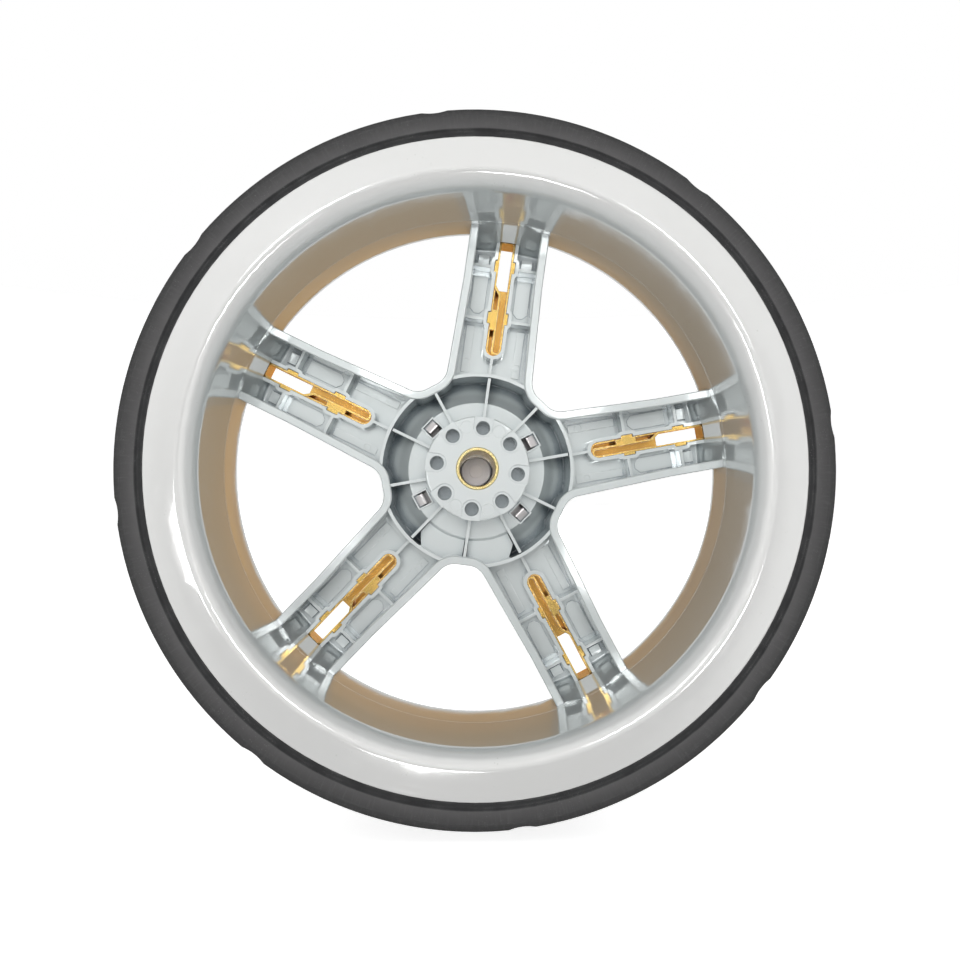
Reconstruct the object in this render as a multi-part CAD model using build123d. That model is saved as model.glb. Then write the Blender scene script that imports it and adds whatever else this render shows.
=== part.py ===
from build123d import *
import os

# A push-cart road wheel with a quick-release hub. Millimetres.
# It is drawn with the axle upright and the back of the wheel on top, then laid down,
# so that in the finished part the axle lies along Y and the back of the wheel faces -Y.
# Every depth is measured along the axle from the plane of the back lip towards the front.
# Spoke shapes are drawn along X: s runs outwards along the spoke, q across it.

# Wheel
WIDTH = 72.0
SPOKES = 5
FIRST_SPOKE = 82.0
PITCH = 360.0 / SPOKES

# Rim
LIP_R = 130.5
LIP_THICK = 2.9
LIP_EDGE = 0.6
BARREL_BACK_R = 111.55
PARTING_R = 110.9
BARREL_FRONT_R = 111.1
PARTING_DEPTH = 38.5
PARTING_LINE = 0.3
BARREL_WALL = 2.7
ROLL_IN_R = 8.0
FLARE_R = 16.0
LIP_FALL = 0.95

# Tyre
TREAD_R = 146.0
SHOULDER_R = 144.4
BEAD_R = 130.75
BAND_R = 132.8
CREASE_R = 133.7
CORE_R = 138.0
CORE_SIDE = 8.5
CORE_WELL_R = 115.0
CORE_WELL = ((119.0, 63.5), (CORE_WELL_R, 58.0), (CORE_WELL_R, 11.5), (118.0, CORE_SIDE))
CORE_EDGE = 6.0
CORE_CORNER = 2.0
BEAD_SHELF_R = 139.5
SHOULDER_DEPTH = 6.2
CROWN_DEPTH = 15.0
BACK_LEG = ((120.5, CORE_SIDE), (120.5, 4.5), (BEAD_R, 3.2))
FRONT_LEG = ((BEAD_R, 68.8), (128.4, 68.5), (128.4, WIDTH - CORE_SIDE))
LEG_CORNER = 0.4
TREAD_GROOVES = (24.0, 36.0, 48.0)
GROOVE_WIDE = 2.4
GROOVE_DEEP = 2.2
NOTCHES = 8
FIRST_NOTCH = 7.0
NOTCH_R = 13.2
NOTCH_LONG = 42.0
NOTCH_TILT = 10.5
NOTCH_DEPTH = 8.0
NOTCH_FLOOR_R = 143.4

# Spokes
WALL_TOP = 43.0
FLOOR = 68.5
FRONT = 71.0
SPIDER_EDGE = ((112.4, WALL_TOP), (112.4, 58.0), (114.5, 63.0), (119.0, 68.2), (124.5, FRONT))
SPOKE_HALF = 17.9
SPOKE_TAPER = 3.0
SPOKE_STRAIGHT_FROM = 85.0
SPOKE_WALL = 3.7
WALL_EDGE = 0.45
FRONT_EDGE = 0.8
WINDOW_INNER_R = 42.8
WINDOW_CORNER = 9.0
CHANNEL_END_TOP_R = 111.0
CHANNEL_END_FLOOR_R = 107.6
CHANNEL_END_ROUND = 1.2
RIB_TOP = 60.0
RIB_THICK = 1.3
CROSS_RIBS = (71.9, 97.0)

# Low steps in a channel floor, as (from s, to s, middle q, half width, height)
STRIP_STEP = (47.0, 69.5, 12.2, 1.8, 0.5)
PANEL_STEP = (76.0, 94.0, 10.4, 3.4, 0.4)
RAMP_STEP = (99.2, 104.6, 10.4, 3.2, 1.4)
PANEL_CORNER = 2.2
RAMP_DRAFT = 12.0
SPOKE_MARK = (52.0, 12.3, 1.65)

# Slot in each spoke, and the trim that lines it
SLOT_START = 55.0
SLOT_END = 109.8
SLOT_HALF = 3.75
SLOT_CORNER = 1.4
FRAME_WALL = 1.6
TAB_CENTRES = (73.0, 97.6)
POCKET_HALF = 2.9
POCKET_OUT = 1.25
POCKET_FLOOR = 63.0
TRIM_GAP = 0.1
TRIM_WALL = 0.8
TRIM_TOP = 60.7
SLEEVE_TOP = 61.6
TRIM_PANEL = 69.8
TRIM_FLANGE = 1.6
TAB_THICK = 1.8
TAB_GAP = 0.25
BIG_TAB = (67.4, 77.0)
TROUGH_END = 1.6
TROUGH_ROUND = 1.3
TROUGH_CORNER = 0.8
TROUGH_STEP = 1.2
PARTITION_Q = 0.2
STEP_FROM = 84.8
STEP_TO = 88.6

# Hub moulding
BOSS_R = 22.0
BOSS_TOP = 22.0
PLATEAU = 50.0
PLATEAU_R = 31.0
HUB_FRONT = 53.0
HUB_FLOOR_R = 43.0
RING_RIB_R = 43.0
RING_RIB_THICK = 1.5
HUB_RIB_TOP = 44.0
HUB_RIBS = 10
BOWL = ((36.2, 60.5), (PLATEAU_R, PLATEAU))
BOWL_ROUND = (12.0, 20.0, 0.6)
RECESS = ((PLATEAU_R - 0.2, HUB_FRONT), (33.4, 61.0))
RECESS_ROUND = (1.0, 18.0)
BOSS_EDGE = 0.8
DRIVE_HOLES = 8
DRIVE_PCD = 34.5
DRIVE_HOLE_R = 3.0
DRIVE_HOLE_DEEP = 14.0
HOLE_RELIEF = 1.2
HOLE_RELIEF_HALF = 4.1
PIN_MARK_R = 2.6
PIN_MARK_AT = 18.0
PIN_MARK_ANGLES = (59.5, 104.5, 239.5, 284.5)
MARK_DEEP = 0.2
PAD_DEPTH = 52.4
PADS = ((227.5, 260.5, 226.0), (263.5, 296.5, 298.0))
PAD_CORNER = 9.0

# Hub cap and its hooks
CAP_R = 38.1
CAP_LEDGE = 68.9
HOOK_ANGLES = (28.0, 136.0, 208.0, 316.0)
HOOK_R = 27.7
HOOK_WINDOW = 6.2
HOOK_BORDER = 0.65
BORDER_HEIGHT = 0.6
HOOK_SHELF = 51.5
HOOK_THICK = 2.0
HOOK_WIDE = 5.0
CAP_HOLE_R = 11.3
CAP_CROWN_R = 29.0
CAP_CROWN = 0.6
CAP_GAP = 0.2
CAP_RING = (33.2, 31.4, 64.0)
CAP_GROOVES = (18.5, 27.5)
GUIDE_WALL = 1.5
GUIDE_BACK = 64.5
HOOK_PLAY = 0.15

# Axle bush
BORE_R = 7.5
BUSH_R = 9.0
BUSH_TOP = 21.5
BUSH_CHAMFER = 0.35

# Quick-release latch
HOUSING_R = 21.5
HOUSING_FRONT = 61.0
SOCKET_FRONT = 57.5
SLIDE_HALF = 10.0
SLIDE_LOW = -17.3
SLIDE_HIGH = 12.5
SPRING_END = 18.6
PLATE_NEAR = 53.3
PLATE_THICK = 2.0
PLATE_SHIFT = 1.5
PLATE_HOLE_R = 7.9
PLATE_CORNER = 1.5
PRESS = 2.5
RAMP = PLATE_SHIFT / PRESS
RAMP_GAP = 0.15
RAMP_Y = -11.2
LEG_HALF = 3.0
LEG_OUT = -13.4
LEG_IN = -9.25
LEG_TIP = 53.2
LEG_TOP = 67.5
RAMP_POCKET = (-10.2, 3.4)
SLIDE_GAP = 0.3
STEM_R = 6.9
STEM_BACK = 60.8
STEM_PLAY = 0.25
PIP_R = 3.15
PIP_BACK = 60.0
BUTTON_R = 11.0
BUTTON_DISH = 1.2
BUTTON_EDGE = 0.6
BUTTON_FLANGE_R = 13.8
FLANGE_BACK = 66.8
FLANGE_FRONT = 68.3
RETURN_SPRING = (7.9, 0.7, 5.5, 3.5)
LOCK_SPRING = (0.95, 0.4, 5.7, 6)
SCREW_X = 13.8
SCREW_Y = 11.5
SCREW_R = 1.2
SCREW_END = 45.0
PILOT_PLAY = 0.05
SCREW_HEAD_R = 2.6
SCREW_HEAD = 1.9
CROSS = (3.0, 0.6, 1.1)


def level(depth):
    """The height, in the drawing position, of a depth below the back lip."""
    return WIDTH / 2 - depth


def slab(sketch, near, far, taper=0.0):
    """A flat sketch made solid from one depth to a greater one; a taper narrows it towards the back."""
    return extrude(Pos(0, 0, level(far)) * sketch, amount=far - near, taper=taper)


def turned(corners, radii=None):
    """A solid turned about the axle from (radius, depth) corners, each rounded by its own radius."""
    points = [(r, level(depth)) for r, depth in corners]
    if radii is None:
        outline = Polyline(*points, close=True)
    else:
        outline = FilletPolyline(*points, radius=radii, close=True)
    return revolve(Plane.XZ * make_face(outline), Axis.Z)


def box(low, high):
    """A rectangle from its low corner to its high corner."""
    size = (high[0] - low[0], high[1] - low[1])
    return Pos((low[0] + high[0]) / 2, (low[1] + high[1]) / 2) * Rectangle(*size)


def around(shape, count, first=0.0):
    """Copies of a shape at an even pitch about the axle."""
    return [Rot(0, 0, first + k * 360.0 / count) * shape for k in range(count)]


def at_angles(shape, angles):
    """Copies of a shape, drawn along X, at the given angles about the axle."""
    return [Rot(0, 0, a) * shape for a in angles]


def ring(outer, inner):
    """A flat ring."""
    return Circle(outer) - Circle(inner)


def sector(outer, inner, start, end):
    """A flat piece of ring between two angles."""
    edge = outer * 2
    middle = (start + end) / 2
    wedge = make_face(
        Polyline(
            (0, 0),
            PolarLine((0, 0), edge, start) @ 1,
            PolarLine((0, 0), edge, middle) @ 1,
            PolarLine((0, 0), edge, end) @ 1,
            close=True,
        )
    )
    return ring(outer, inner) & wedge


# Rim and spider


def rim():
    """The barrel with its two lips: the back lip rolls in, the front lip flares out."""
    inner = [
        (LIP_R, 0.0),
        (BARREL_BACK_R, LIP_FALL),
        (PARTING_R, PARTING_DEPTH),
        (BARREL_FRONT_R, WIDTH - LIP_FALL),
        (LIP_R, WIDTH),
    ]
    outer = [
        (LIP_R, WIDTH - LIP_THICK),
        (BARREL_FRONT_R + BARREL_WALL, WIDTH - LIP_THICK - LIP_FALL),
        (BARREL_BACK_R + BARREL_WALL, LIP_THICK + LIP_FALL),
        (LIP_R, LIP_THICK),
    ]
    edges = [LIP_EDGE, ROLL_IN_R, 0.0, FLARE_R, LIP_EDGE]
    edges += [LIP_EDGE, FLARE_R - BARREL_WALL, ROLL_IN_R - BARREL_WALL, LIP_EDGE]
    line = slab(
        ring(PARTING_R + PARTING_LINE / 2, PARTING_R - 1),
        PARTING_DEPTH,
        PARTING_DEPTH + PARTING_LINE,
    )
    return turned(inner + outer, edges) - line


def spoke_plan():
    """One spoke seen along the axle."""
    wide, narrow, far = SPOKE_HALF + SPOKE_TAPER, SPOKE_HALF, LIP_R
    upper = [(0, wide), (SPOKE_STRAIGHT_FROM, narrow), (far, narrow)]
    lower = [(x, -y) for x, y in reversed(upper)]
    return make_face(Polyline(*upper, *lower, close=True))


def window_plan():
    """The gap between the first spoke and the next, with its two rounded hub corners."""
    gap = ring(LIP_R - 5, WINDOW_INNER_R) & sector(LIP_R, 1, 0, PITCH)
    gap = gap - spoke_plan() - Rot(0, 0, PITCH) * spoke_plan()
    corners = [v for v in gap.vertices() if Vector(v).length < WINDOW_INNER_R + 5]
    return fillet(corners, WINDOW_CORNER)


def blank():
    """The round block that the spider is cut from. Its edge runs inside the rim's wall."""
    return turned([(0, WALL_TOP), *SPIDER_EDGE, (0, FRONT)])


def channel_void():
    """What is hollow behind the spider's front skin, before the spoke walls stand in it."""
    corners = [
        (0, WALL_TOP - 1),
        (CHANNEL_END_TOP_R, WALL_TOP - 1),
        (CHANNEL_END_TOP_R, WALL_TOP),
        (CHANNEL_END_FLOOR_R, FLOOR),
        (HUB_FLOOR_R, FLOOR),
        *BOWL,
        (0, PLATEAU),
    ]
    return turned(corners, [0, 0, 0, CHANNEL_END_ROUND, *BOWL_ROUND, 0])


def spoke_walls():
    """The outline of every window, grown by the wall's thickness."""
    grown = offset(window_plan(), SPOKE_WALL, kind=Kind.ARC)
    return around(grown, SPOKES, FIRST_SPOKE)


def windows(near, far):
    """The five through gaps."""
    return [slab(w, near, far) for w in around(window_plan(), SPOKES, FIRST_SPOKE)]


def spider():
    """Five open channels and the hub floor, closed by one front skin."""
    void = channel_void()
    for wall in spoke_walls():
        void = void - slab(wall, WALL_TOP - 2, FRONT)
    body = blank()
    body = body - windows(WALL_TOP - 1, FRONT + 1) - void
    body = chamfer(edges_at(body, WALL_TOP, CHANNEL_END_TOP_R - 0.5), WALL_EDGE)
    return chamfer(edges_at(body, FRONT, SPIDER_EDGE[-1][0] - 1), FRONT_EDGE)


def edges_at(body, depth, within):
    """The level edges at one depth whose middle is nearer the axle than a radius."""
    found = []
    for edge in body.edges():
        start, middle = edge @ 0, edge @ 0.5
        flat = abs(middle.Z - level(depth)) < 1e-3 and abs(start.Z - middle.Z) < 1e-3
        if flat and Vector(middle.X, middle.Y).length < within:
            found.append(edge)
    return found


# Slots, ribs and small marks in the spokes


def slot_plan(grow=0.0):
    """The long slot in a spoke, round at the hub end and square at the rim end."""
    half = SLOT_HALF + grow
    middle = SLOT_START + SLOT_HALF
    straight = box((middle, -half), (SLOT_END + grow, half))
    square = [v for v in straight.vertices() if v.X > middle + 1]
    return fillet(square, SLOT_CORNER + max(grow, -1.0) / 2) + Pos(middle, 0) * Circle(half)


def pocket_plan():
    """The four pockets in the slot's edge that the trim's snap tabs drop into."""
    reach = SLOT_HALF + POCKET_OUT
    found = Sketch()
    for s in TAB_CENTRES:
        pocket = box((s - POCKET_HALF, -reach), (s + POCKET_HALF, reach))
        found += fillet(pocket.vertices(), POCKET_OUT / 2)
    return found


def frame_plan():
    """The raised wall round the slot, which swells round the pockets."""
    return offset(slot_plan() + pocket_plan(), FRAME_WALL, kind=Kind.ARC)


def spoke_ribs():
    """The low ribs of one spoke: the slot's frame, the cross ribs and the rib to the hub."""
    plan = frame_plan()
    for s in CROSS_RIBS:
        plan += box((s - RIB_THICK / 2, -SPOKE_HALF), (s + RIB_THICK / 2, SPOKE_HALF))
    plan += box((RING_RIB_R, -RIB_THICK / 2), (SLOT_START, RIB_THICK / 2))
    return slab(plan, RIB_TOP, FLOOR + 1)


def step_plan(place, side):
    """A low step of the channel floor on one side of the slot."""
    start, end, middle, half, _ = place
    return box((start, side * middle - half), (end, side * middle + half))


def spoke_floor():
    """Low steps in the channel floor on both sides of the slot."""
    steps = []
    for side in (-1, 1):
        panel = step_plan(PANEL_STEP, side)
        panel = chamfer(panel.vertices().sort_by(Axis.X)[:2], PANEL_CORNER)
        steps.append(slab(step_plan(STRIP_STEP, side), FLOOR - STRIP_STEP[-1], FRONT - 1))
        steps.append(slab(panel, FLOOR - PANEL_STEP[-1], FRONT - 1))
        steps.append(slab(step_plan(RAMP_STEP, side), FLOOR - RAMP_STEP[-1], FRONT - 1, RAMP_DRAFT))
    return steps


def spoke_marks():
    """Shallow round ejector marks, two on each spoke's strip steps."""
    along, across, radius = SPOKE_MARK
    top = FLOOR - STRIP_STEP[-1]
    marks = [Pos(along, side * across) * Circle(radius) for side in (-1, 1)]
    return [slab(mark, top - 1, top + MARK_DEEP) for mark in marks]


# Hub


def hub_ribs():
    """The ring rib and the ten radial ribs between the boss and the ring or the window walls."""
    outer, inner = RING_RIB_R + RING_RIB_THICK / 2, RING_RIB_R - RING_RIB_THICK / 2
    radial = box((BOSS_R - 1, -RIB_THICK / 2), (WINDOW_INNER_R - 1, RIB_THICK / 2))
    ribs = [slab(r, HUB_RIB_TOP, FLOOR + 1) for r in around(radial, HUB_RIBS, FIRST_SPOKE)]
    return [slab(ring(outer, inner), HUB_RIB_TOP, FLOOR + 1), *ribs]


def boss():
    """The solid boss that holds the bush, with a stepped rim."""
    corners = [(0, BOSS_TOP), (BOSS_R, BOSS_TOP), (BOSS_R, HUB_FRONT - 1), (0, HUB_FRONT - 1)]
    return turned(corners, [0, BOSS_EDGE, 0, 0])


def boss_cuts():
    """The drive-pin holes, the relief round each of them and the marks on the pads."""
    reach = DRIVE_PCD / 2
    relief = Pos(reach, 0) * Circle(HOLE_RELIEF_HALF)
    relief += box((reach, -HOLE_RELIEF_HALF), (BOSS_R + 2, HOLE_RELIEF_HALF))
    hole = Pos(reach, 0) * Circle(DRIVE_HOLE_R)
    mark = Pos(PIN_MARK_AT, 0) * Circle(PIN_MARK_R)
    cuts = []
    for plan in around(relief, DRIVE_HOLES, FIRST_SPOKE):
        cuts.append(slab(plan, BOSS_TOP - 1, BOSS_TOP + HOLE_RELIEF))
    for plan in around(hole, DRIVE_HOLES, FIRST_SPOKE):
        cuts.append(slab(plan, BOSS_TOP - 1, BOSS_TOP + DRIVE_HOLE_DEEP))
    for plan in at_angles(mark, PIN_MARK_ANGLES):
        cuts.append(slab(plan, BOSS_TOP - 1, BOSS_TOP + MARK_DEEP))
    return cuts


def raised_pads():
    """The two filled sectors of the hub floor opposite the first spoke."""
    found = []
    for start, end, cut_at in PADS:
        pad = sector(HUB_FLOOR_R - 0.5, PLATEAU_R - 3, start, end)
        corner = Pos(HUB_FLOOR_R, 0) * Rot(0, 0, 45) * Rectangle(PAD_CORNER, PAD_CORNER)
        corner = Rot(0, 0, cut_at) * corner
        found.append(slab(pad - corner, PAD_DEPTH, FLOOR + 1))
    return found


def hook_windows():
    """The stepped square holes that the hub cap's hooks snap through."""
    half = HOOK_WINDOW / 2
    mouth = box((HOOK_R - half, -half), (HOOK_R + half, half))
    throat = box((HOOK_R - half, -half), (HOOK_R + half - HOOK_THICK, half))
    cuts = [slab(m, PLATEAU - 2, HOOK_SHELF) for m in at_angles(mouth, HOOK_ANGLES)]
    cuts += [slab(t, PLATEAU, HUB_FRONT + 1) for t in at_angles(throat, HOOK_ANGLES)]
    return cuts


def hook_window_frames():
    """A thin raised border round each hook window."""
    side = HOOK_WINDOW + 2 * HOOK_BORDER
    frame = Pos(HOOK_R, 0) * Rectangle(side, side)
    return [slab(f, PLATEAU - BORDER_HEIGHT, PLATEAU + 1) for f in at_angles(frame, HOOK_ANGLES)]


def front_recess():
    """The bowl in the front of the hub that holds the latch and the cap."""
    corners = [
        (0, HUB_FRONT),
        *RECESS,
        (BOWL[0][0], CAP_LEDGE),
        (CAP_R + CAP_GAP, CAP_LEDGE),
        (CAP_R + CAP_GAP, FRONT + 1),
        (0, FRONT + 1),
    ]
    return turned(corners, [0, *RECESS_ROUND, 0, 0, 0, 0])


def latch_seat():
    """The pilot holes and the ramp pocket in the hub's front face."""
    pilots = [Pos(x, y) * Circle(SCREW_R + PILOT_PLAY) for x, y in screw_places()]
    top, deep = RAMP_POCKET
    side, low = LEG_HALF + 2 * SLIDE_GAP, LEG_OUT - 2 * SLIDE_GAP
    cuts = [slab(pilot, SCREW_END - 0.5, HUB_FRONT + 1) for pilot in pilots]
    return cuts + [slab(box((-side, low), (side, top)), HUB_FRONT - deep, HUB_FRONT + 1)]


def wheel_moulding():
    """Rim, spokes and hub in one moulding."""
    body = spider()
    ribs = []
    for angle in [FIRST_SPOKE + k * PITCH for k in range(SPOKES)]:
        ribs += [Rot(0, 0, angle) * shape for shape in [spoke_ribs(), *spoke_floor()]]
    ribs += hub_ribs() + raised_pads()
    inside = blank() - windows(WALL_TOP - 1, FRONT + 1)
    ribs = [rib & inside for rib in ribs]
    body = body + ribs + [boss(), *hook_window_frames()]
    slot = slab(slot_plan(), RIB_TOP - 1, FRONT + 1) + slab(pocket_plan(), RIB_TOP - 1, POCKET_FLOOR)
    cuts = [front_recess(), slab(Circle(BUSH_R), BOSS_TOP - 1, HUB_FRONT + 1)]
    cuts += around(slot, SPOKES, FIRST_SPOKE) + boss_cuts() + hook_windows() + latch_seat()
    for mark in spoke_marks():
        cuts += around(mark, SPOKES, FIRST_SPOKE)
    return (body - cuts) + rim()


# Tyre


def tyre_casing():
    """The rubber casing: it is open towards the rim and filled by the core."""
    outside = [
        (BEAD_R, 1.1),
        (BAND_R, 1.0),
        (CREASE_R, 0.3),
        (BEAD_SHELF_R, 1.2),
        (SHOULDER_R, SHOULDER_DEPTH),
        (TREAD_R, CROWN_DEPTH),
    ]
    rounding = [0.2, 0.2, 0.4, 0.5, 5.0, 6.0]
    outside += [(r, WIDTH - depth) for r, depth in reversed(outside)]
    inside = [*FRONT_LEG, (CORE_R, WIDTH - CORE_SIDE), (CORE_R, CORE_SIDE), *BACK_LEG]
    legs = [0.2, LEG_CORNER, LEG_CORNER, CORE_EDGE, CORE_EDGE, LEG_CORNER, LEG_CORNER, 0.2]
    casing = turned(outside + inside, rounding + rounding[::-1] + legs)
    for depth in TREAD_GROOVES:
        groove = ring(TREAD_R + 1, TREAD_R - GROOVE_DEEP)
        casing -= slab(groove, depth - GROOVE_WIDE / 2, depth + GROOVE_WIDE / 2)
    return casing - shoulder_notches()


def shoulder_notches():
    """Shallow rounded dips across both shoulders of the tread."""
    cutter = Cylinder(NOTCH_R, NOTCH_LONG)
    cuts = []
    for side in (-1, 1):
        height = side * level(NOTCH_DEPTH)
        lean = Pos(NOTCH_FLOOR_R + NOTCH_R, 0, height) * Rot(0, -side * NOTCH_TILT, 0) * cutter
        cuts += around(lean, NOTCHES, FIRST_NOTCH)
    return cuts


def tyre_core():
    """The foam ring that fills the casing and sits in the rim's well."""
    section = [(CORE_R, CORE_SIDE), (CORE_R, WIDTH - CORE_SIDE), *CORE_WELL]
    return turned(section, [CORE_EDGE] * 2 + [CORE_CORNER] * len(CORE_WELL))


# Bush and trims


def axle_bush():
    """The brass bush pressed into the boss, with a chamfered mouth."""
    corners = [(BORE_R, BUSH_TOP), (BUSH_R, BUSH_TOP), (BUSH_R, HUB_FRONT), (BORE_R, HUB_FRONT)]
    bush = turned(corners)
    mouth = bush.edges().filter_by(GeomType.CIRCLE).group_by(Axis.Z)[-1]
    return chamfer(mouth, BUSH_CHAMFER)


def trim_opening():
    """The see-through part of the trim, at the rim end of the slot."""
    edge = TRIM_GAP + TRIM_WALL
    half = SLOT_HALF - edge
    return box((STEP_TO, -half), (SLOT_END - edge, half))


def trim_trough(grow=0.0):
    """The flag-shaped trough: narrow at the hub end, full width at the rim end."""
    half = SLOT_HALF - TRIM_GAP - TRIM_WALL
    low, high, mid = -half - grow, half + grow, PARTITION_Q + grow
    start, end = SLOT_START + TROUGH_END - grow, SLOT_END - TRIM_GAP - TRIM_WALL + grow
    corners = [(start, low), (end, low), (end, high), (STEP_TO - grow, high)]
    corners += [(STEP_FROM - grow, mid), (start, mid)]
    radii = [TROUGH_ROUND, TROUGH_CORNER, TROUGH_CORNER, TROUGH_STEP, TROUGH_STEP, TROUGH_ROUND]
    return make_face(FilletPolyline(*corners, radius=radii, close=True))


def spoke_trim():
    """One plated trim: front flange, closed panel, sleeve, inner partition and snap tabs."""
    outside = slot_plan(-TRIM_GAP)
    sleeve = outside - slot_plan(-TRIM_GAP - TRIM_WALL)
    body = slab(slot_plan(TRIM_FLANGE) - trim_opening(), FRONT, WIDTH)
    body += slab(outside - trim_opening(), TRIM_PANEL, FRONT)
    body += slab(sleeve, SLEEVE_TOP, TRIM_PANEL)
    partition = (trim_trough(TRIM_WALL) - trim_trough()) & outside
    body += slab(partition, TRIM_TOP, TRIM_PANEL)
    reach = SLOT_HALF + POCKET_OUT - TAB_GAP
    inner = SLOT_HALF - TRIM_GAP - TRIM_WALL
    tab_half = POCKET_HALF - TAB_GAP
    for s in TAB_CENTRES:
        for side in (-1, 1):
            low, high = sorted((side * inner, side * reach))
            tab = box((s - tab_half, low), (s + tab_half, high))
            body += slab(tab, TRIM_TOP, TRIM_TOP + TAB_THICK)
    bridge = box((BIG_TAB[0], PARTITION_Q + TRIM_WALL / 2), (BIG_TAB[1], inner + TRIM_WALL / 2))
    return body + slab(bridge, TRIM_TOP, TRIM_TOP + TAB_THICK)


# Hub cap and latch


def cap_hook():
    """One snap hook: an arm through the window with a barb on its outer side."""
    inner = HOOK_R + HOOK_WINDOW / 2 - 2 * HOOK_THICK
    outer = inner + HOOK_THICK - HOOK_PLAY
    tip = HOOK_R + HOOK_WINDOW / 2 - HOOK_PLAY
    arm = box((inner, -HOOK_WIDE / 2), (outer, HOOK_WIDE / 2))
    barb = make_face(
        Polyline(
            (inner, level(PLATEAU + HOOK_PLAY)),
            (outer, level(PLATEAU + HOOK_PLAY)),
            (tip, level(HOOK_SHELF - 4 * HOOK_PLAY)),
            (tip, level(HOOK_SHELF)),
            (inner, level(HOOK_SHELF)),
            close=True,
        )
    )
    return slab(arm, HOOK_SHELF, CAP_LEDGE) + extrude(Plane.XZ * barb, amount=HOOK_WIDE / 2, both=True)


def hub_cap():
    """The snap-in front cover, with four hooks and a guide for the button."""
    inner = CAP_HOLE_R
    corners = [
        (inner, FRONT - 0.4),
        (inner + 2.2, FRONT + CAP_CROWN),
        (CAP_CROWN_R, FRONT + CAP_CROWN),
        (CAP_R, FRONT - CAP_CROWN),
        (CAP_R, CAP_LEDGE),
        (inner, CAP_LEDGE),
    ]
    cap = turned(corners, [0.4, 1.0, 20.0, 0.5, 0, 0])
    guide_r = BUTTON_FLANGE_R + SLIDE_GAP
    cap += slab(ring(*CAP_RING[:2]), CAP_RING[2], CAP_LEDGE)
    cap += slab(ring(guide_r + GUIDE_WALL, guide_r), GUIDE_BACK, CAP_LEDGE)
    for r in CAP_GROOVES:
        cap -= slab(ring(r + 0.5, r - 0.5), FRONT + 0.1, WIDTH)
    return cap + at_angles(cap_hook(), HOOK_ANGLES)


def screw_places():
    """The four latch screws, seen along the axle."""
    return [(x, y) for x in (-SCREW_X, SCREW_X) for y in (-SCREW_Y, SCREW_Y)]


def latch_housing():
    """The carrier screwed to the hub's front face, in which the lock plate slides."""
    corners = [(0, HUB_FRONT), (HOUSING_R, HUB_FRONT), (HOUSING_R, HOUSING_FRONT), (0, HOUSING_FRONT)]
    body = turned(corners, [0, 0, 1.0, 0])
    side, leg_side = SLIDE_HALF + SLIDE_GAP, LEG_HALF + SLIDE_GAP
    track = box((-side, SLIDE_LOW - SLIDE_GAP), (side, SPRING_END))
    leg_hole = box((-leg_side, LEG_OUT - SLIDE_GAP), (leg_side, LEG_IN + SLIDE_GAP))
    body -= slab(track, HUB_FRONT - 1, PLATE_NEAR + PLATE_THICK + SLIDE_GAP)
    body -= slab(leg_hole, HUB_FRONT, HOUSING_FRONT + 1)
    body -= slab(Circle(BUSH_R - 1), HUB_FRONT, SOCKET_FRONT)
    body -= slab(Circle(STEM_R + STEM_PLAY), HUB_FRONT, HOUSING_FRONT + 1)
    for x, y in screw_places():
        body -= slab(Pos(x, y) * Circle(SCREW_R + SLIDE_GAP), HUB_FRONT - 1, HOUSING_FRONT + 1)
    return body


def latch_screws():
    """Four self-tapping pan-head screws with a cross recess."""
    top = HOUSING_FRONT + SCREW_HEAD
    under = HOUSING_FRONT
    head = turned([(0, under), (SCREW_HEAD_R, under), (SCREW_HEAD_R, top), (0, top)], [0, 0, 1.0, 0])
    shank = turned([(0, SCREW_END), (SCREW_R, SCREW_END), (SCREW_R, under), (0, under)])
    long, wide, deep = CROSS
    recess = slab(Rectangle(long, wide) + Rectangle(wide, long), top - deep, top + 1)
    screw = head + shank - recess
    return Part() + [Pos(x, y, 0) * screw for x, y in screw_places()]


def lock_plate():
    """The sliding steel plate. At rest the top of its hole stands in the axle's groove."""
    far = PLATE_NEAR + PLATE_THICK
    outline = box((-SLIDE_HALF, SLIDE_LOW), (SLIDE_HALF, SLIDE_HIGH))
    plan = fillet(outline.vertices(), PLATE_CORNER) - Pos(0, -PLATE_SHIFT) * Circle(PLATE_HOLE_R)
    plate = slab(plan, PLATE_NEAR, far)
    slot_low = LEG_OUT - SLIDE_GAP - PLATE_SHIFT
    middle = (PLATE_NEAR + far) / 2
    section = Plane.YZ * make_face(
        Polyline(
            (slot_low, level(PLATE_NEAR - 1)),
            (RAMP_Y - RAMP * (middle - PLATE_NEAR + 1), level(PLATE_NEAR - 1)),
            (RAMP_Y + RAMP * (far + 1 - middle), level(far + 1)),
            (slot_low, level(far + 1)),
            close=True,
        )
    )
    return plate - extrude(section, amount=LEG_HALF + SLIDE_GAP, both=True)


def ramp_leg():
    """The button's leg: its sloping face pushes the lock plate up as the button goes in."""
    middle = PLATE_NEAR + PLATE_THICK / 2
    top = RAMP_Y - RAMP_GAP
    knee = middle + (LEG_IN - top) / RAMP
    section = Plane.YZ * make_face(
        Polyline(
            (LEG_OUT, level(LEG_TIP)),
            (top - RAMP * (middle - LEG_TIP), level(LEG_TIP)),
            (LEG_IN, level(knee)),
            (LEG_IN, level(LEG_TOP)),
            (LEG_OUT, level(LEG_TOP)),
            close=True,
        )
    )
    return extrude(section, amount=LEG_HALF, both=True)


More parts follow.
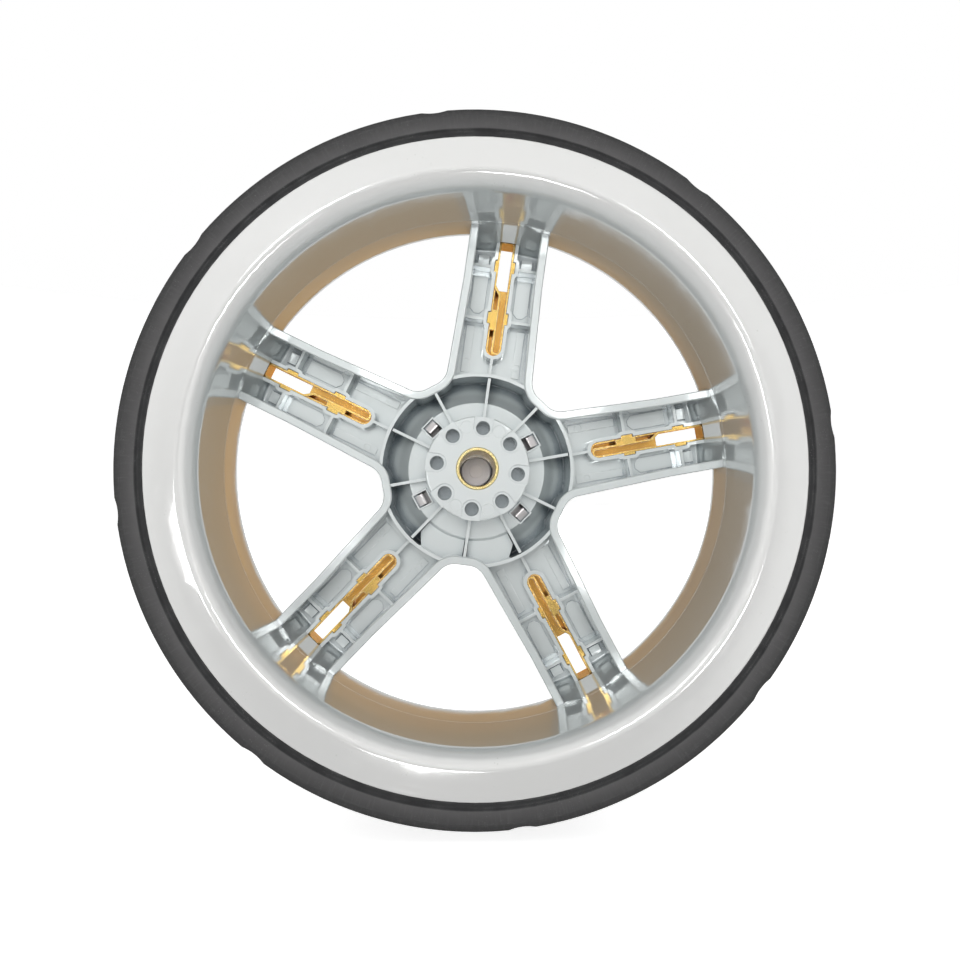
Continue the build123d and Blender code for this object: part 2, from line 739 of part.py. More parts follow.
def release_button():
    """The push button: head, retaining flange, stem, ramp leg and the pip seen up the bore."""
    corners = [
        (0, STEM_BACK),
        (STEM_R, STEM_BACK),
        (STEM_R, FLANGE_BACK),
        (BUTTON_FLANGE_R, FLANGE_BACK),
        (BUTTON_FLANGE_R, FLANGE_FRONT),
        (BUTTON_R, FLANGE_FRONT),
        (BUTTON_R, WIDTH),
        (BUTTON_R - 2 * BUTTON_DISH, WIDTH),
        (0, WIDTH - BUTTON_DISH),
    ]
    body = turned(corners, [0, 0.4, 0, 0, 0, 0, BUTTON_EDGE, BUTTON_EDGE, 0])
    return body + slab(Circle(PIP_R), PIP_BACK, STEM_BACK + 1) + ramp_leg()


def coil(mean_r, wire, length, turns):
    """A round-wire compression spring that stands on the origin along Z."""
    path = Helix(pitch=(length - wire) / turns, height=length - wire, radius=mean_r)
    profile = Plane(origin=path @ 0, z_dir=path % 0) * Circle(wire / 2)
    return Pos(0, 0, wire / 2) * sweep(profile, path=path, is_frenet=True)


def button_spring():
    """The return spring round the button's stem."""
    return Pos(0, 0, level(FLANGE_BACK - 0.1)) * coil(*RETURN_SPRING)


def lock_spring():
    """The spring that holds the lock plate in the axle's groove."""
    middle = PLATE_NEAR + (PLATE_THICK + SLIDE_GAP) / 2
    return Pos(0, SLIDE_HIGH + 0.2, level(middle)) * Rot(-90, 0, 0) * coil(*LOCK_SPRING)


def write(shape, node):
    """Lays a piece down into its place in the part and writes its file."""
    laid = Plane.XZ.location * shape
    export_step(laid, f"parts/{node}.step")


os.makedirs("parts", exist_ok=True)
write(wheel_moulding(), "wheel_moulding")
write(tyre_casing(), "tyre_casing")
write(tyre_core(), "tyre_core")
write(axle_bush(), "axle_bush")
for number, trim in enumerate(around(spoke_trim(), SPOKES, FIRST_SPOKE), start=1):
    write(trim, f"spoke_trim_{number}")
write(hub_cap(), "hub_cap")
write(latch_housing(), "latch_housing")
write(latch_screws(), "latch_screws")
write(lock_plate(), "lock_plate")
write(lock_spring(), "lock_spring")
write(release_button(), "release_button")
write(button_spring(), "button_spring")
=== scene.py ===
import math

import bmesh
import bpy
from mathutils import Matrix, Vector


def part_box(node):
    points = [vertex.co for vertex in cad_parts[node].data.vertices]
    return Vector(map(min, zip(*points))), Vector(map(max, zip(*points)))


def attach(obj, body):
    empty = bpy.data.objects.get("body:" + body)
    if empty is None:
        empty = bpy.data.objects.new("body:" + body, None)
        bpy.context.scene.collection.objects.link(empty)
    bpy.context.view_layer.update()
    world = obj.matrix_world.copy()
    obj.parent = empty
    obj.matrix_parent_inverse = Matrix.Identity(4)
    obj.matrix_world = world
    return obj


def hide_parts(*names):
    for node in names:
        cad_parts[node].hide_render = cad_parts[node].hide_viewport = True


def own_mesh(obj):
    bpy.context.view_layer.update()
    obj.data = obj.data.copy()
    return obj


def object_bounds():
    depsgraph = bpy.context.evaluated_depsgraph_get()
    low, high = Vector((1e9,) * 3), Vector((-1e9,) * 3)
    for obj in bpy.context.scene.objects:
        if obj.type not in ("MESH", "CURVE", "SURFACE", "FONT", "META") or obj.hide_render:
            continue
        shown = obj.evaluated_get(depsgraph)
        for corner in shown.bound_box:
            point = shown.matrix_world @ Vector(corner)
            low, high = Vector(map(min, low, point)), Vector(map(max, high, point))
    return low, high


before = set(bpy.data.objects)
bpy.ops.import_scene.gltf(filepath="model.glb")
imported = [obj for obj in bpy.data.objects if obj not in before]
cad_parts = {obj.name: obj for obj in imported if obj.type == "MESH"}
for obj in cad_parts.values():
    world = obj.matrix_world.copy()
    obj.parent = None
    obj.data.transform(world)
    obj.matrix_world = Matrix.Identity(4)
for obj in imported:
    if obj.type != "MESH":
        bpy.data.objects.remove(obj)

CAD_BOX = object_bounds()

# Metres. The axle is the Y axis; the back of the wheel faces -Y.
BACK_LIP_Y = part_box("wheel_moulding")[0][1]
FLOOR_Z = CAD_BOX[0][2]
SAME_POINT = 0.000002
SHARP_ANGLE = math.radians(32.0)

# Distances from the axle between which one tone passes into the next. The cooler tone inside the
# barrel is painted shade, the dark tread is painted shade and the dark bead is a painted shadow.
SHADED_BARREL_TO_LIP = (0.109, 0.116)
SIDEWALL_TO_SHADED_TREAD = (0.1345, 0.1435)
SIDEWALL_TO_SHADOWED_BEAD = (0.1340, 0.1335)

# Each light: its place, its width and height, and its watts
LIGHTS = {
    "key_light": ((-0.10, -1.5, 0.22), (0.8, 0.7), 17.5),
    "front_light": ((0.20, 2.4, 0.40), (1.0, 0.8), 16.0),
    "left_light": ((-1.9, 0, 1.2), (0.9, 1.2), 10.0),
    "right_light": ((1.9, 0, 1.2), (0.9, 1.2), 10.0),
}

# The rim lamps stand in a ring behind the camera, round the line of the axle
LAMP_COUNT = 5
LAMP_R = 0.085
LAMP_FROM_AXLE = 0.37
LAMP_ANGLE = math.radians(118.0)
LAMP_Y = -1.5
LAMP_PLACE = (LAMP_FROM_AXLE * math.cos(LAMP_ANGLE), LAMP_Y, LAMP_FROM_AXLE * math.sin(LAMP_ANGLE))

# The camera is close behind the back lip and turned a little off the axle
LENS_MM, SENSOR_MM = 28.5, 36.0
CAMERA_GAP = 0.2967
CAMERA_PLACE = (-0.0053, BACK_LIP_Y - CAMERA_GAP, -0.0113)
CAMERA_TURN = (math.pi / 2 + 0.0204, 0, -0.02)

# The way to the middle of the bright part of the room
BRIGHT_SIDE = (-0.05, -0.87, 0.49)

# The five trims share one finish
TRIMS = [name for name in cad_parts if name.startswith("spoke_trim_")]


# Wiring helpers


class Wiring:
    """A node tree being wired. A socket is given a number, a colour or another node's output."""

    def __init__(self, tree):
        self.tree = tree

    def add(self, kind, sockets=None, **settings):
        node = self.tree.nodes.new(kind)
        for name, value in settings.items():
            setattr(node, name, value)
        for key, value in (sockets or {}).items():
            self.put(node.inputs[key], value)
        return node

    def put(self, socket, value):
        if isinstance(value, bpy.types.NodeSocket):
            self.tree.links.new(value, socket)
        else:
            socket.default_value = value

    def calc(self, operation, first, second=0.0, clamp=False):
        sockets = {0: first, 1: second}
        node = self.add("ShaderNodeMath", sockets, operation=operation, use_clamp=clamp)
        return node.outputs[0]

    def spread(self, value, low, high, out_low=0.0, out_high=1.0):
        """Maps low..high onto out_low..out_high, and holds it there."""
        sockets = {"Value": value, "From Min": low, "From Max": high}
        sockets.update({"To Min": out_low, "To Max": out_high})
        return self.add("ShaderNodeMapRange", sockets).outputs["Result"]

    def grade(self, mask, at_none, at_full):
        """A number that goes from one value to another as a mask fills."""
        return self.spread(mask, 0.0, 1.0, at_none, at_full)

    def blend(self, factor, first, second):
        """A colour between two colours, which are sockets 6 and 7 of a Mix node."""
        sockets = {0: factor, 6: first, 7: second}
        return self.add("ShaderNodeMix", sockets, data_type="RGBA").outputs[2]

    def tint(self, body, mask, share, colour):
        """Lays a colour over the body where the mask is, by no more than the share."""
        return self.blend(self.calc("MULTIPLY", mask, share), body, colour)

    def noise(self, vector, scale, detail=4.0, rough=0.55):
        sockets = {"Vector": vector, "Scale": scale, "Detail": detail, "Roughness": rough}
        return self.add("ShaderNodeTexNoise", sockets).outputs["Fac"]

    def here(self):
        """The place on the object, in metres."""
        return self.add("ShaderNodeTexCoord").outputs["Object"]

    def off_axle(self):
        """The distance from the axle line, in metres."""
        sockets = {0: self.here(), 1: (1.0, 0.0, 1.0)}
        flat = self.add("ShaderNodeVectorMath", sockets, operation="MULTIPLY").outputs[0]
        return self.add("ShaderNodeVectorMath", {0: flat}, operation="LENGTH").outputs["Value"]


def new_group(name, inputs, outputs):
    """A shader node group with number inputs and outputs, and its wiring."""
    group = bpy.data.node_groups.new(name, "ShaderNodeTree")
    for label, value in inputs.items():
        socket = group.interface.new_socket(label, in_out="INPUT", socket_type="NodeSocketFloat")
        socket.default_value = value
    for label in outputs:
        group.interface.new_socket(label, in_out="OUTPUT", socket_type="NodeSocketFloat")
    return group, Wiring(group)


# Effects that several finishes share


def edge_highlight_group():
    """A mask of the outside and inside edges, broken up in patches, for painted highlights along
    them.
    """
    group, w = new_group("painted_edge_highlight", {"Radius": 0.0006, "Patch Scale": 180.0}, ["Mask"])
    given = w.add("NodeGroupInput").outputs
    rounded = w.add("ShaderNodeBevel", {"Radius": given["Radius"]}, samples=4).outputs[0]
    sharp = w.add("ShaderNodeNewGeometry").outputs["Normal"]
    sockets = {0: rounded, 1: sharp}
    agree = w.add("ShaderNodeVectorMath", sockets, operation="DOT_PRODUCT").outputs["Value"]
    edge = w.spread(agree, 0.999, 0.9)
    patch = w.spread(w.noise(w.here(), given["Patch Scale"]), 0.4, 0.62)
    w.add("NodeGroupOutput", {"Mask": w.calc("MULTIPLY", edge, patch, clamp=True)})
    return group


def grain_group():
    """Fine moulded grain: a height, and a shade that drifts slowly over the surface."""
    inputs = {"Grain Scale": 1500.0, "Drift Scale": 14.0}
    group, w = new_group("moulded_grain", inputs, ["Height", "Drift"])
    given = w.add("NodeGroupInput").outputs
    place = w.here()
    fine = w.noise(place, given["Grain Scale"], detail=2.0)
    drift = w.spread(w.noise(place, given["Drift Scale"], detail=3.0), 0.3, 0.7)
    w.add("NodeGroupOutput", {"Height": fine, "Drift": drift})
    return group


def ring_group():
    """Streaks that run round the axle, as lathe marks, polishing marks or road scuffs do."""
    inputs = {"Across": 900.0, "Along": 5.0, "Sharpness": 0.12}
    group, w = new_group("ring_streaks", inputs, ["Mask", "Height"])
    given = w.add("NodeGroupInput").outputs
    axes = w.add("ShaderNodeSeparateXYZ", {"Vector": w.here()}).outputs
    flat = w.add("ShaderNodeCombineXYZ", {"X": axes["X"], "Y": axes["Z"]}).outputs[0]
    radius = w.add("ShaderNodeVectorMath", {0: flat}, operation="LENGTH").outputs["Value"]
    around = w.add("ShaderNodeVectorMath", {0: flat}, operation="NORMALIZE").outputs[0]
    around = w.add("ShaderNodeSeparateXYZ", {"Vector": around}).outputs
    depth = w.calc("MULTIPLY", axes["Y"], 0.8)
    across = w.calc("MULTIPLY", w.calc("ADD", radius, depth), given["Across"])
    sockets = {"X": w.calc("MULTIPLY", around["X"], given["Along"])}
    sockets["Y"] = w.calc("MULTIPLY", around["Y"], given["Along"])
    sockets["Z"] = across
    place = w.add("ShaderNodeCombineXYZ", sockets).outputs[0]
    streak = w.noise(place, 1.0, detail=3.0, rough=0.6)
    low = w.calc("SUBTRACT", 0.6, given["Sharpness"])
    w.add("NodeGroupOutput", {"Mask": w.spread(streak, low, 0.72), "Height": streak})
    return group


def speck_group():
    """Sparse small specks and dust."""
    group, w = new_group("specks", {"Scale": 420.0, "Amount": 0.3}, ["Mask"])
    given = w.add("NodeGroupInput").outputs
    place = w.here()
    sockets = {"Vector": place, "Scale": given["Scale"]}
    cells = w.add("ShaderNodeTexVoronoi", sockets).outputs["Distance"]
    dot = w.spread(cells, 0.22, 0.08)
    where = w.noise(place, 60.0)
    chosen = w.spread(where, w.calc("SUBTRACT", 0.8, given["Amount"]), 0.75)
    w.add("NodeGroupOutput", {"Mask": w.calc("MULTIPLY", dot, chosen, clamp=True)})
    return group


def recess_shade_group():
    """A mask of corners and deep recesses, for painted shade where less light is thrown back."""
    group, w = new_group("painted_recess_shade", {"Reach": 0.008, "Start": 0.75, "End": 0.15}, ["Mask"])
    given = w.add("NodeGroupInput").outputs
    sockets = {"Distance": given["Reach"]}
    open_sky = w.add("ShaderNodeAmbientOcclusion", sockets, samples=6).outputs["AO"]
    w.add("NodeGroupOutput", {"Mask": w.spread(open_sky, given["Start"], given["End"])})
    return group


EDGE_HIGHLIGHT, GRAIN, RINGS = edge_highlight_group(), grain_group(), ring_group()
SPECKS, RECESS_SHADE = speck_group(), recess_shade_group()


class Finish(Wiring):
    """A material with one Principled shader."""

    def __init__(self, name, **constants):
        self.material = bpy.data.materials.new(name)
        self.material.use_nodes = True
        super().__init__(self.material.node_tree)
        self.shader = self.tree.nodes["Principled BSDF"]
        for key, value in constants.items():
            self.shader.inputs[key.replace("_", " ")].default_value = value

    def effect(self, group, **sockets):
        node = self.add("ShaderNodeGroup", node_tree=group)
        for key, value in sockets.items():
            self.put(node.inputs[key.replace("_", " ")], value)
        return node.outputs

    def set(self, key, value):
        self.put(self.shader.inputs[key], value)

    def relief(self, height, depth, rounding=0.00025):
        """Bump of a given depth in metres over edges that are rounded a little."""
        soft = self.add("ShaderNodeBevel", {"Radius": rounding}, samples=4).outputs[0]
        sockets = {"Height": height, "Distance": depth, "Strength": 1.0, "Normal": soft}
        self.set("Normal", self.add("ShaderNodeBump", sockets).outputs[0])


def grey(value):
    return (value, value, value, 1.0)


def rgb(red, green, blue):
    return (red, green, blue, 1.0)


def toned(colour, by, plus=0.0):
    """The colour made darker or lighter, and no brighter than white."""
    return rgb(*[min(1.0, channel * by + plus) for channel in colour[:3]])


# Finishes


def glossy_moulding(name, shaded_inner, outer):
    """Glossy moulded plastic in two tones, the cooler one inside the barrel being painted shade;
    cool painted shade in recesses, dark painted shade in holes, painted highlights on edges, and
    specks.
    """
    f = Finish(name, IOR=1.6, Metallic=0.3, Coat_Weight=0.5, Coat_Roughness=0.03)
    grain = f.effect(GRAIN, Grain_Scale=900.0, Drift_Scale=11.0)
    rings = f.effect(RINGS, Across=1400.0, Along=7.0, Sharpness=0.04)
    specks = f.effect(SPECKS, Scale=520.0, Amount=0.22)
    edge = f.effect(EDGE_HIGHLIGHT, Radius=0.0007, Patch_Scale=240.0)
    recess_shade = f.effect(RECESS_SHADE, Reach=0.006)
    hole = f.effect(RECESS_SHADE, Reach=0.006, Start=0.36, End=0.22)
    # Painted shade: inside the barrel the moulding takes a cooler, darker tone than the lip
    body = f.blend(f.spread(f.off_axle(), *SHADED_BARREL_TO_LIP), shaded_inner, outer)
    body = f.tint(body, grain["Drift"], share=0.3, colour=grey(0.68))
    # Painted shade: a cool blue-grey in corners and recesses
    body = f.tint(body, recess_shade["Mask"], share=0.45, colour=rgb(0.46, 0.53, 0.56))
    # Painted shade: deep holes darkened to slate
    body = f.tint(body, hole["Mask"], share=0.85, colour=rgb(0.11, 0.15, 0.18))
    # Painted highlight: a pale line along the edges
    body = f.tint(body, edge["Mask"], share=0.45, colour=grey(0.9))
    f.set("Base Color", f.tint(body, specks["Mask"], share=0.5, colour=rgb(0.30, 0.29, 0.27)))
    rough = f.grade(grain["Drift"], 0.05, 0.1)
    rough = f.calc("ADD", rough, f.calc("MULTIPLY", rings["Mask"], 0.1))
    rough = f.calc("ADD", rough, f.calc("MULTIPLY", specks["Mask"], 0.3), clamp=True)
    f.set("Roughness", rough)
    height = f.calc("ADD", grain["Height"], f.calc("MULTIPLY", grain["Drift"], 2.0))
    f.relief(height, depth=0.000006)
    return f.material


def tyre_rubber():
    """Matt rubber: a grey, scuffed sidewall, with painted shade that darkens it towards the tread,
    a painted shadow at the bead and painted highlights on its edges.
    """
    f = Finish("tyre_rubber", IOR=1.45)
    grain = f.effect(GRAIN, Grain_Scale=2600.0, Drift_Scale=30.0)
    rings = f.effect(RINGS, Across=260.0, Along=16.0, Sharpness=0.2)
    specks = f.effect(SPECKS, Scale=900.0, Amount=0.35)
    edge = f.effect(EDGE_HIGHLIGHT, Radius=0.0014, Patch_Scale=120.0)
    brushed = f.effect(RINGS, Across=120.0, Along=150.0, Sharpness=0.1)
    radius = f.off_axle()
    sidewall, shaded_tread = rgb(0.088, 0.086, 0.087), rgb(0.016, 0.016, 0.017)
    # Painted shade: the sidewall darkens towards the tread
    body = f.blend(f.spread(radius, *SIDEWALL_TO_SHADED_TREAD), sidewall, shaded_tread)
    body = f.tint(body, grain["Drift"], share=0.35, colour=rgb(0.044, 0.043, 0.045))
    body = f.tint(body, brushed["Mask"], share=0.3, colour=grey(0.10))
    body = f.tint(body, rings["Mask"], share=0.25, colour=grey(0.08))
    # Painted shadow: a near-black band at the bead, next to the rim
    body = f.blend(f.spread(radius, *SIDEWALL_TO_SHADOWED_BEAD), body, rgb(0.022, 0.022, 0.023))
    # Painted highlight: the edges a little lighter
    body = f.tint(body, edge["Mask"], share=0.5, colour=grey(0.13))
    f.set("Base Color", f.tint(body, specks["Mask"], share=0.6, colour=grey(0.2)))
    f.set("Roughness", f.grade(rings["Mask"], 0.62, 0.82))
    height = f.calc("ADD", grain["Height"], f.calc("MULTIPLY", rings["Height"], 0.6))
    f.relief(height, depth=0.00006, rounding=0.0005)
    return f.material


def foam():
    """Closed-cell foam."""
    f = Finish("foam_core")
    cells = f.add("ShaderNodeTexVoronoi", {"Vector": f.here(), "Scale": 900.0}).outputs["Distance"]
    wall = f.spread(cells, 0.0, 0.6)
    f.set("Base Color", f.blend(wall, grey(0.025), grey(0.08)))
    f.set("Roughness", f.grade(wall, 0.75, 0.95))
    f.relief(cells, depth=0.0003)
    return f.material


def turned_metal(name, colour, dark, rough):
    """Metal turned on a lathe: fine rings, a little tarnish between them, painted shade in its
    recesses and painted highlights on its edges.
    """
    f = Finish(name, Metallic=1.0)
    rings = f.effect(RINGS, Across=5200.0, Along=2.0, Sharpness=0.25)
    grain = f.effect(GRAIN, Grain_Scale=700.0, Drift_Scale=160.0)
    edge = f.effect(EDGE_HIGHLIGHT, Radius=0.0005, Patch_Scale=500.0)
    recess_shade = f.effect(RECESS_SHADE, Reach=0.012, Start=0.7, End=0.3)
    body = f.blend(grain["Drift"], colour, dark)
    # Painted shade: recesses take the deeper colour of the metal mirrored in itself
    twice_mirrored = rgb(*[channel * channel for channel in dark[:3]])
    body = f.blend(recess_shade["Mask"], body, twice_mirrored)
    # Painted highlight: edges lighter than the metal
    f.set("Base Color", f.blend(edge["Mask"], body, toned(colour, by=1.15, plus=0.05)))
    f.set("Roughness", f.grade(rings["Mask"], rough, rough + 0.16))
    f.relief(rings["Height"], depth=0.00002, rounding=0.0002)
    return f.material


def gold_plating():
    """Gold-coloured plating over moulded plastic: bright, slightly wavy, with painted amber shade
    in its corners and painted cream highlights on its edges.
    """
    f = Finish("gold_plating", Metallic=1.0)
    grain = f.effect(GRAIN, Grain_Scale=420.0, Drift_Scale=110.0)
    edge = f.effect(EDGE_HIGHLIGHT, Radius=0.0006, Patch_Scale=700.0)
    specks = f.effect(SPECKS, Scale=1100.0, Amount=0.25)
    recess_shade = f.effect(RECESS_SHADE, Reach=0.006, Start=0.62, End=0.2)
    body = f.blend(grain["Drift"], rgb(0.86, 0.60, 0.20), rgb(0.76, 0.49, 0.13))
    # Painted shade: corners and recesses turn deep amber
    body = f.blend(recess_shade["Mask"], body, rgb(0.66, 0.30, 0.05))
    # Painted highlight: cream along the edges
    body = f.blend(edge["Mask"], body, rgb(1.0, 0.90, 0.62))
    f.set("Base Color", f.tint(body, specks["Mask"], share=0.5, colour=rgb(0.35, 0.2, 0.06)))
    # The painted shade in recesses is also made less metallic
    f.set("Metallic", f.grade(recess_shade["Mask"], 1.0, 0.55))
    f.set("Roughness", f.grade(grain["Drift"], 0.10, 0.2))
    f.relief(grain["Height"], depth=0.00003)
    return f.material


def satin_plastic(name, colour, shade, rough):
    """Satin moulded plastic with painted highlights on its edges."""
    f = Finish(name, IOR=1.48)
    grain = f.effect(GRAIN, Grain_Scale=1800.0, Drift_Scale=60.0)
    rings = f.effect(RINGS, Across=2200.0, Along=3.0, Sharpness=0.05)
    edge = f.effect(EDGE_HIGHLIGHT, Radius=0.0005, Patch_Scale=300.0)
    body = f.blend(grain["Drift"], colour, shade)
    # Painted highlight: edges lighter than the plastic
    body = f.tint(body, edge["Mask"], share=0.6, colour=toned(colour, by=1.25, plus=0.02))
    f.set("Base Color", body)
    f.set("Roughness", f.grade(rings["Mask"], rough, rough + 0.15))
    f.relief(grain["Height"], depth=0.00002)
    return f.material


def drawn_steel(name, colour, rough):
    """Zinc-plated or drawn steel with a fine mottle and painted highlights on its edges."""
    f = Finish(name, Metallic=1.0)
    grain = f.effect(GRAIN, Grain_Scale=900.0, Drift_Scale=420.0)
    edge = f.effect(EDGE_HIGHLIGHT, Radius=0.0003, Patch_Scale=700.0)
    body = f.blend(grain["Drift"], colour, toned(colour, by=0.72))
    # Painted highlight: edges pale grey
    f.set("Base Color", f.blend(edge["Mask"], body, grey(0.8)))
    f.set("Roughness", f.grade(grain["Drift"], rough, rough + 0.15))
    f.relief(grain["Height"], depth=0.00002)
    return f.material


# CAD nodes keep their shape; they are only shaded smoothly and given a finish


def dress(node, material):
    """Shades a CAD node smoothly across its small facets and gives it one finish."""
    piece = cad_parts[node]
    piece.data.polygons.foreach_set("use_smooth", [True] * len(piece.data.polygons))
    piece.modifiers.new("join_facets", "WELD").merge_threshold = SAME_POINT
    split = piece.modifiers.new("sharp_edges", "EDGE_SPLIT")
    split.split_angle = SHARP_ANGLE
    even = piece.modifiers.new("flat_faces_lead", "WEIGHTED_NORMAL")
    even.keep_sharp = True
    piece.data.materials.clear()
    piece.data.materials.append(material)


def dress_all():
    moulding = glossy_moulding("grey_moulding", rgb(0.655, 0.70, 0.70), rgb(0.70, 0.70, 0.692))
    cover = glossy_moulding("cap_moulding", rgb(0.55, 0.52, 0.52), rgb(0.60, 0.57, 0.56))
    brass = turned_metal("turned_brass", rgb(0.97, 0.83, 0.46), rgb(0.88, 0.68, 0.30), 0.14)
    pale = satin_plastic("button_plastic", rgb(0.86, 0.84, 0.88), rgb(0.92, 0.90, 0.92), 0.3)
    black = satin_plastic("housing_plastic", rgb(0.06, 0.06, 0.065), rgb(0.09, 0.09, 0.095), 0.4)
    gold = gold_plating()
    steel = drawn_steel("zinc_steel", rgb(0.56, 0.56, 0.58), 0.28)
    wire = drawn_steel("spring_wire", rgb(0.44, 0.44, 0.46), 0.22)
    finishes = {
        "wheel_moulding": moulding,
        "tyre_casing": tyre_rubber(),
        "tyre_core": foam(),
        "axle_bush": brass,
        "hub_cap": cover,
        "release_button": pale,
        "latch_housing": black,
        "lock_plate": steel,
        "latch_screws": steel,
        "button_spring": wire,
        "lock_spring": wire,
    }
    finishes.update({name: gold for name in TRIMS})
    for node, material in finishes.items():
        dress(node, material)


dress_all()


def shortening_spring(node):
    """A copy of the CAD spring that takes its place on the wheel."""
    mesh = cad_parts[node].data.copy()
    bm = bmesh.new()
    bm.from_mesh(mesh)
    bmesh.ops.remove_doubles(bm, verts=bm.verts, dist=SAME_POINT)
    bmesh.ops.recalc_face_normals(bm, faces=bm.faces)
    bm.to_mesh(mesh)
    bm.free()
    coil = bpy.data.objects.new(node + "_coil", mesh)
    bpy.context.collection.objects.link(coil)
    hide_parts(node)
    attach(coil, "wheel")
    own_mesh(coil)


shortening_spring("button_spring")
shortening_spring("lock_spring")


# Stage


def mesh_piece(name, mesh_bm):
    """Turns a finished bmesh into an object at the origin."""
    mesh = bpy.data.meshes.new(name)
    mesh_bm.to_mesh(mesh)
    mesh_bm.free()
    piece = bpy.data.objects.new(name, mesh)
    bpy.context.collection.objects.link(piece)
    return piece


def studio_bowl():
    """A round pale floor that curves up at its outside."""
    middle, reach, bend, steps, sides = 0.02, 3.0, 0.9, 12, 64
    flat_reach = reach - bend
    bm = bmesh.new()
    path = [bm.verts.new((middle, 0, FLOOR_Z)), bm.verts.new((flat_reach, 0, FLOOR_Z))]
    for step in range(1, steps + 1):
        angle = math.pi / 2 * step / steps
        out = flat_reach + bend * math.sin(angle)
        up = FLOOR_Z + bend * (1 - math.cos(angle))
        path.append(bm.verts.new((out, 0, up)))
    edges = [bm.edges.new(pair) for pair in zip(path, path[1:])]
    around = {"cent": (0, 0, 0), "axis": (0, 0, 1), "angle": math.tau, "steps": sides}
    bmesh.ops.spin(bm, geom=path + edges, use_merge=True, **around)
    bare = [edge for edge in bm.edges if edge.is_boundary]
    hole = [edge for edge in bare if edge.verts[0].co.xy.length < 2 * middle]
    bmesh.ops.contextual_create(bm, geom=hole)
    bmesh.ops.recalc_face_normals(bm, faces=bm.faces)
    for face in bm.faces:
        face.smooth = True
    floor = mesh_piece("studio_floor", bm)
    paint = Finish("floor_paint", Roughness=0.8)
    cloud = paint.noise(paint.here(), 1.5)
    tone = paint.blend(cloud, grey(0.88), grey(0.92))
    paint.set("Base Color", tone)
    paint.set("Emission Color", tone)
    # A glow that only the camera sees keeps the floor white
    seen = paint.add("ShaderNodeLightPath").outputs["Is Camera Ray"]
    paint.set("Emission Strength", paint.calc("MULTIPLY", seen, 0.8))
    floor.data.materials.append(paint.material)
    floor.visible_glossy = False


def rim_lamps():
    """Small lamps that draw a bright line round the rolled-in edge of the rim."""
    bm = bmesh.new()
    bmesh.ops.create_circle(bm, cap_ends=True, segments=48, radius=LAMP_R)
    upright = Matrix.Rotation(math.pi / 2, 3, "X")
    bmesh.ops.rotate(bm, verts=bm.verts, cent=(0, 0, 0), matrix=upright)
    bmesh.ops.translate(bm, verts=bm.verts, vec=LAMP_PLACE)
    around = {"cent": (0, 0, 0), "axis": (0, 1, 0), "angle": math.tau, "steps": LAMP_COUNT}
    bmesh.ops.spin(bm, geom=bm.faces[:], use_duplicate=True, **around)
    lamps = mesh_piece("rim_lamps", bm)
    glow = Finish("lamp_face", Emission_Color=grey(1.0), Emission_Strength=7.0)
    lamps.data.materials.append(glow.material)
    lamps.visible_camera = lamps.visible_diffuse = lamps.visible_shadow = False
    lamps.visible_transmission = lamps.visible_volume_scatter = False


def soft_light(name, place, size, watts):
    """A soft light that faces the middle of the wheel and doesn't show in its gloss."""
    lamp = bpy.data.lights.new(name, "AREA")
    lamp.shape = "RECTANGLE"
    lamp.size, lamp.size_y = size
    lamp.energy = watts
    light = bpy.data.objects.new(name, lamp)
    light.location = place
    light.visible_glossy = False
    light.rotation_euler = (-Vector(place)).to_track_quat("-Z", "Y").to_euler()
    bpy.context.collection.objects.link(light)


def soft_room(w, facing, aim):
    """The brightness of the room that gloss mirrors, apart from its wood."""
    # Behind the camera: bright above, and a soft bright ring that is weaker below
    toward = w.add("ShaderNodeVectorMath", {0: facing, 1: BRIGHT_SIDE}, operation="DOT_PRODUCT")
    above = w.spread(toward.outputs["Value"], 0.76, 0.96, 0.3, 1.1)
    behind = w.calc("MULTIPLY", aim["Y"], -1.0)
    dim_middle = w.spread(behind, 0.97, 0.953, 0.25, 1.05)
    dim_outside = w.spread(behind, 0.55, 0.85, 0.42, 1.0)
    dim_below = w.spread(aim["Z"], -0.28, -0.12, 0.45, 1.0)
    ring = w.calc("MULTIPLY", w.calc("MULTIPLY", dim_middle, dim_outside), dim_below)
    ahead = w.spread(aim["Y"], 0.6, 0.85, 0.42, 0.9)
    return w.calc("MAXIMUM", w.calc("MAXIMUM", above, ring), ahead)


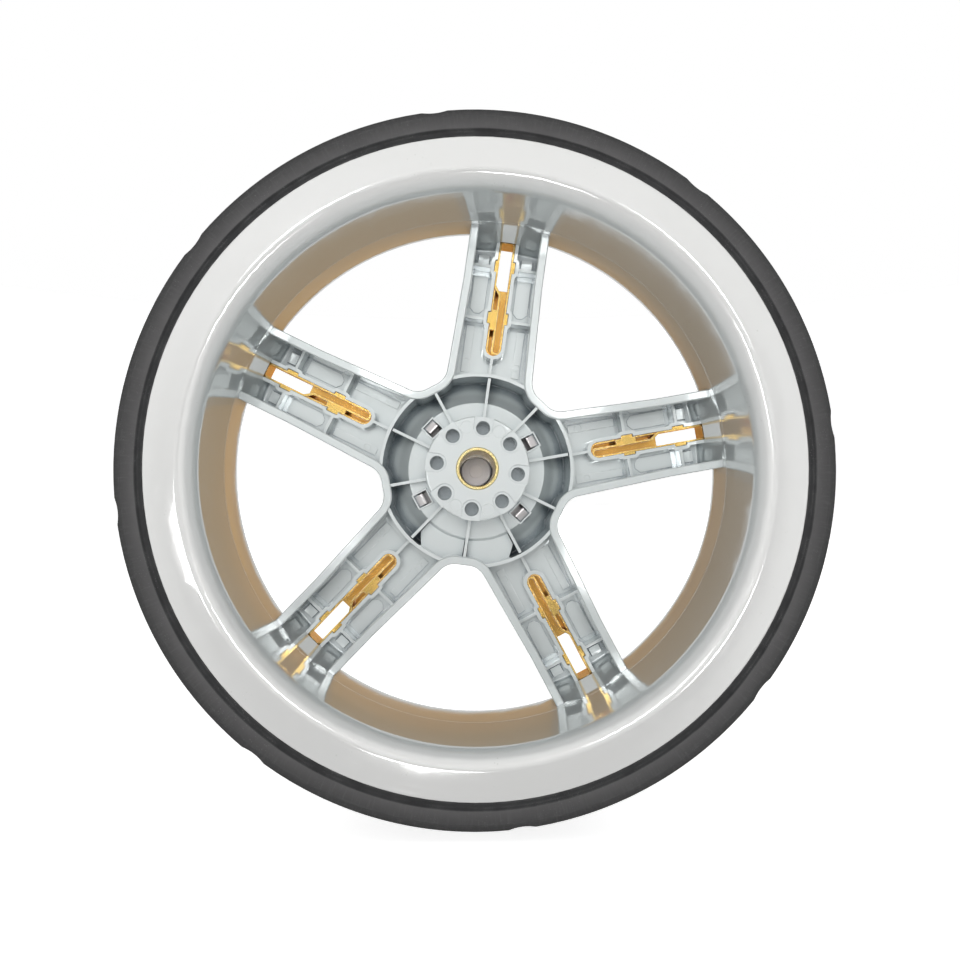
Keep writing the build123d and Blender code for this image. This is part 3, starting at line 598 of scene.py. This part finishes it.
def wood_band(w, facing, aim):
    """A streaky ring of wood ahead of the wheel, which the barrel mirrors to the camera."""
    sockets = {"Vector": facing, "Scale": (2.0, 800.0, 2.0)}
    stretched = w.add("ShaderNodeMapping", sockets).outputs[0]
    streaks = w.spread(w.noise(stretched, 1.0, detail=3.0), 0.42, 0.62)
    pale_half = w.spread(aim["Y"], 0.944, 0.948)
    colour = w.blend(pale_half, rgb(0.38, 0.22, 0.055), rgb(0.74, 0.41, 0.10))
    streak_share = w.grade(pale_half, 0.15, 0.95)
    colour = w.tint(colour, streaks, share=streak_share, colour=rgb(0.40, 0.21, 0.06))
    outer_end = w.spread(aim["Y"], 0.902, 0.914)
    inner_end = w.spread(aim["Y"], 0.975, 0.968)
    band = w.calc("MULTIPLY", outer_end, inner_end)
    brighter_right = w.spread(aim["X"], -0.33, 0.33, 0.72, 1.18)
    return band, colour, w.calc("MULTIPLY", band, brighter_right)


def pale_world():
    """White to look at, weak and even on the object, and a softly lit room in its gloss."""
    even_light, room_tone = 0.10, rgb(0.98, 0.985, 0.97)
    world = bpy.data.worlds.new("studio_world")
    world.use_nodes = True
    w = Wiring(world.node_tree)
    rays = w.add("ShaderNodeLightPath").outputs
    facing = w.add("ShaderNodeTexCoord").outputs["Generated"]
    aim = w.add("ShaderNodeSeparateXYZ", {"Vector": facing}).outputs
    room = soft_room(w, facing, aim)
    band, wood, wood_light = wood_band(w, facing, aim)
    room = w.calc("ADD", w.calc("MULTIPLY", room, w.calc("SUBTRACT", 1.0, band)), wood_light)

    gloss = w.calc("MULTIPLY", rays["Is Glossy Ray"], room)
    diffuse = w.calc("MULTIPLY", rays["Is Diffuse Ray"], even_light)
    strength = w.calc("ADD", w.calc("ADD", gloss, diffuse), rays["Is Camera Ray"])
    tone = w.blend(rays["Is Glossy Ray"], grey(1.0), w.blend(band, room_tone, wood))
    back = world.node_tree.nodes["Background"]
    w.put(back.inputs["Color"], tone)
    w.put(back.inputs["Strength"], strength)
    bpy.context.scene.world = world


def studio():
    studio_bowl()
    rim_lamps()
    pale_world()
    for name, (place, size, watts) in LIGHTS.items():
        soft_light(name, place, size, watts)
    bpy.context.scene.view_settings.view_transform = "Standard"


def camera():
    """A wide lens close behind the wheel and nearly square to it."""
    lens = bpy.data.cameras.new("camera")
    lens.lens, lens.sensor_width = LENS_MM, SENSOR_MM
    lens.clip_start = 0.01
    view = bpy.data.objects.new("camera", lens)
    view.location = CAMERA_PLACE
    view.rotation_euler = CAMERA_TURN
    bpy.context.collection.objects.link(view)
    bpy.context.scene.camera = view


studio()
camera()
